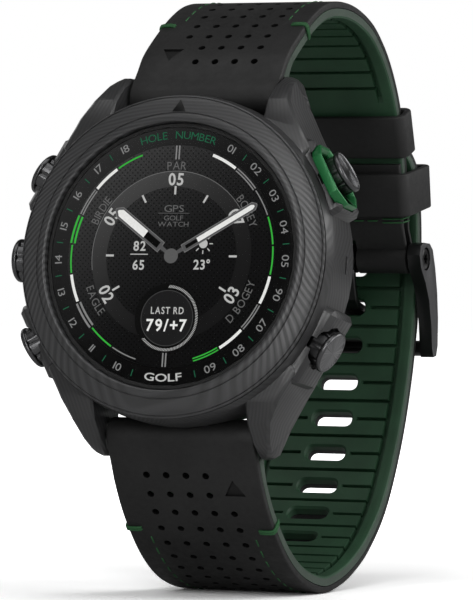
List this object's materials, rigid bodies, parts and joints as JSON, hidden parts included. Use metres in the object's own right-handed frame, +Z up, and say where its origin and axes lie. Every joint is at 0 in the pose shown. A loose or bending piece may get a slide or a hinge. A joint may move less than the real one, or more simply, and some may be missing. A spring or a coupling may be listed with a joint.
{
  "type": "golf gps watch",
  "caption": "Round golf GPS watch with a layered carbon bezel, side buttons, and a buckled leather strap lined with slotted rubber.",
  "frame": {"origin": "middle of the wrist opening, inside the buckled strap", "axes": "+Z up as the watch stands in the picture, dial towards -Y and leaning back 8.2 degrees, 3 o'clock towards +X"},
  "size_m": [0.049, 0.0765, 0.0837],
  "materials": {
    "case_carbon": "satin",
    "bezel_carbon": "satin, layered",
    "sapphire": "polished",
    "display_glass": "polished",
    "black_gloss": "satin",
    "black_plastic": "matte",
    "contact_gold": "polished",
    "board_green": "matte",
    "battery_foil": "satin",
    "bright_steel": "satin",
    "dark_steel": "satin",
    "rear_titanium": "satin",
    "sensor_glass": "polished",
    "guard_green": "satin",
    "button_metal": "satin",
    "buckle_metal": "satin",
    "seal_rubber": "matte",
    "green_rubber": "matte",
    "black_leather": "matte"
  },
  "bodies": {
    "case": {"case_middle": "case_carbon", "bezel": "bezel_carbon", "crystal": "sapphire", "crystal_gasket": "seal_rubber", "chapter_ring": "black_gloss", "display_panel": "display_glass", "gps_antenna": "contact_gold", "inner_frame": "black_plastic", "main_board": "board_green", "battery": "battery_foil", "vibration_motor": "bright_steel", "sensor_board": "board_green", "rear_cover": "rear_titanium", "rear_gasket": "seal_rubber", "charge_port": "black_plastic", "sensor_window": "sensor_glass", "start_button_guard": "guard_green", "lug_bar_upper": "dark_steel", "lug_bar_lower": "dark_steel", "rear_screw_1": "bright_steel", "rear_screw_2": "bright_steel", "rear_screw_3": "bright_steel", "rear_screw_4": "bright_steel", "button_seal_start": "seal_rubber", "button_spring_start": "bright_steel", "button_seal_back": "seal_rubber", "button_spring_back": "bright_steel", "button_seal_down": "seal_rubber", "button_spring_down": "bright_steel", "button_seal_up": "seal_rubber", "button_spring_up": "bright_steel", "button_seal_light": "seal_rubber", "button_spring_light": "bright_steel"},
    "band": {"upper_connector": "dark_steel", "lower_connector": "dark_steel", "upper_leather": "black_leather", "upper_rubber": "green_rubber", "lower_leather": "black_leather", "lower_rubber": "green_rubber", "fixed_keeper": "black_leather"},
    "buckle": {"buckle_frame": "buckle_metal", "buckle_bar": "dark_steel", "buckle_screw_right": "buckle_metal", "buckle_screw_left": "buckle_metal"},
    "tongue": {"buckle_tongue": "buckle_metal"},
    "keeper": {"free_keeper": "black_leather"},
    "latch_upper": {"upper_latch": "dark_steel"},
    "latch_lower": {"lower_latch": "dark_steel"},
    "start_button": {"button_start": "button_metal", "button_clip_start": "bright_steel"},
    "back_button": {"button_back": "button_metal", "button_clip_back": "bright_steel"},
    "down_button": {"button_down": "button_metal", "button_clip_down": "bright_steel"},
    "up_button": {"button_up": "button_metal", "button_clip_up": "bright_steel"},
    "light_button": {"button_light": "button_metal", "button_clip_light": "bright_steel"}
  },
  "joints": [
    {"name": "band_release", "type": "hinge", "parent": "case", "child": "band", "pos_m": [0, -0.02655, 0.02699], "axis": [1, 0, 0], "range_deg": [0, 50]},
    {"name": "buckle_hinge", "type": "hinge", "parent": "band", "child": "buckle", "pos_m": [0, 0.0271, 0.0057], "axis": [1, 0, 0], "range_deg": [0, 3]},
    {"name": "tongue_hinge", "type": "hinge", "parent": "buckle", "child": "tongue", "pos_m": [0, 0.0271, 0.0057], "axis": [1, 0, 0], "range_deg": [0, 2]},
    {"name": "keeper_slide", "type": "slide", "parent": "band", "child": "keeper", "axis": [0, 0.168, -0.9858], "range_m": [-0.0012, 0.0018]},
    {"name": "upper_latch_slide", "type": "slide", "parent": "band", "child": "latch_upper", "axis": [0, 0.6874, 0.7262], "range_m": [0, 0.0012], "stiffness_N_per_m": 600, "springref_m": -0.0003},
    {"name": "lower_latch_slide", "type": "slide", "parent": "band", "child": "latch_lower", "axis": [0, 0.4545, -0.8907], "range_m": [0, 0.0012], "stiffness_N_per_m": 600, "springref_m": -0.0003},
    {"name": "start_press", "type": "slide", "parent": "case", "child": "start_button", "axis": [-0.8746, -0.0691, -0.4799], "range_m": [0, 0.0007], "stiffness_N_per_m": 1500, "springref_m": -0.0004},
    {"name": "back_press", "type": "slide", "parent": "case", "child": "back_button", "axis": [-0.8746, 0.0691, 0.4799], "range_m": [0, 0.0007], "stiffness_N_per_m": 1500, "springref_m": -0.0004},
    {"name": "down_press", "type": "slide", "parent": "case", "child": "down_button", "axis": [0.8746, 0.0691, 0.4799], "range_m": [0, 0.0007], "stiffness_N_per_m": 1500, "springref_m": -0.0004},
    {"name": "up_press", "type": "slide", "parent": "case", "child": "up_button", "axis": [1, 0, 0], "range_m": [0, 0.0007], "stiffness_N_per_m": 1500, "springref_m": -0.0004},
    {"name": "light_press", "type": "slide", "parent": "case", "child": "light_button", "axis": [0.8746, -0.0691, -0.4799], "range_m": [0, 0.0007], "stiffness_N_per_m": 1500, "springref_m": -0.0004}
  ]
}
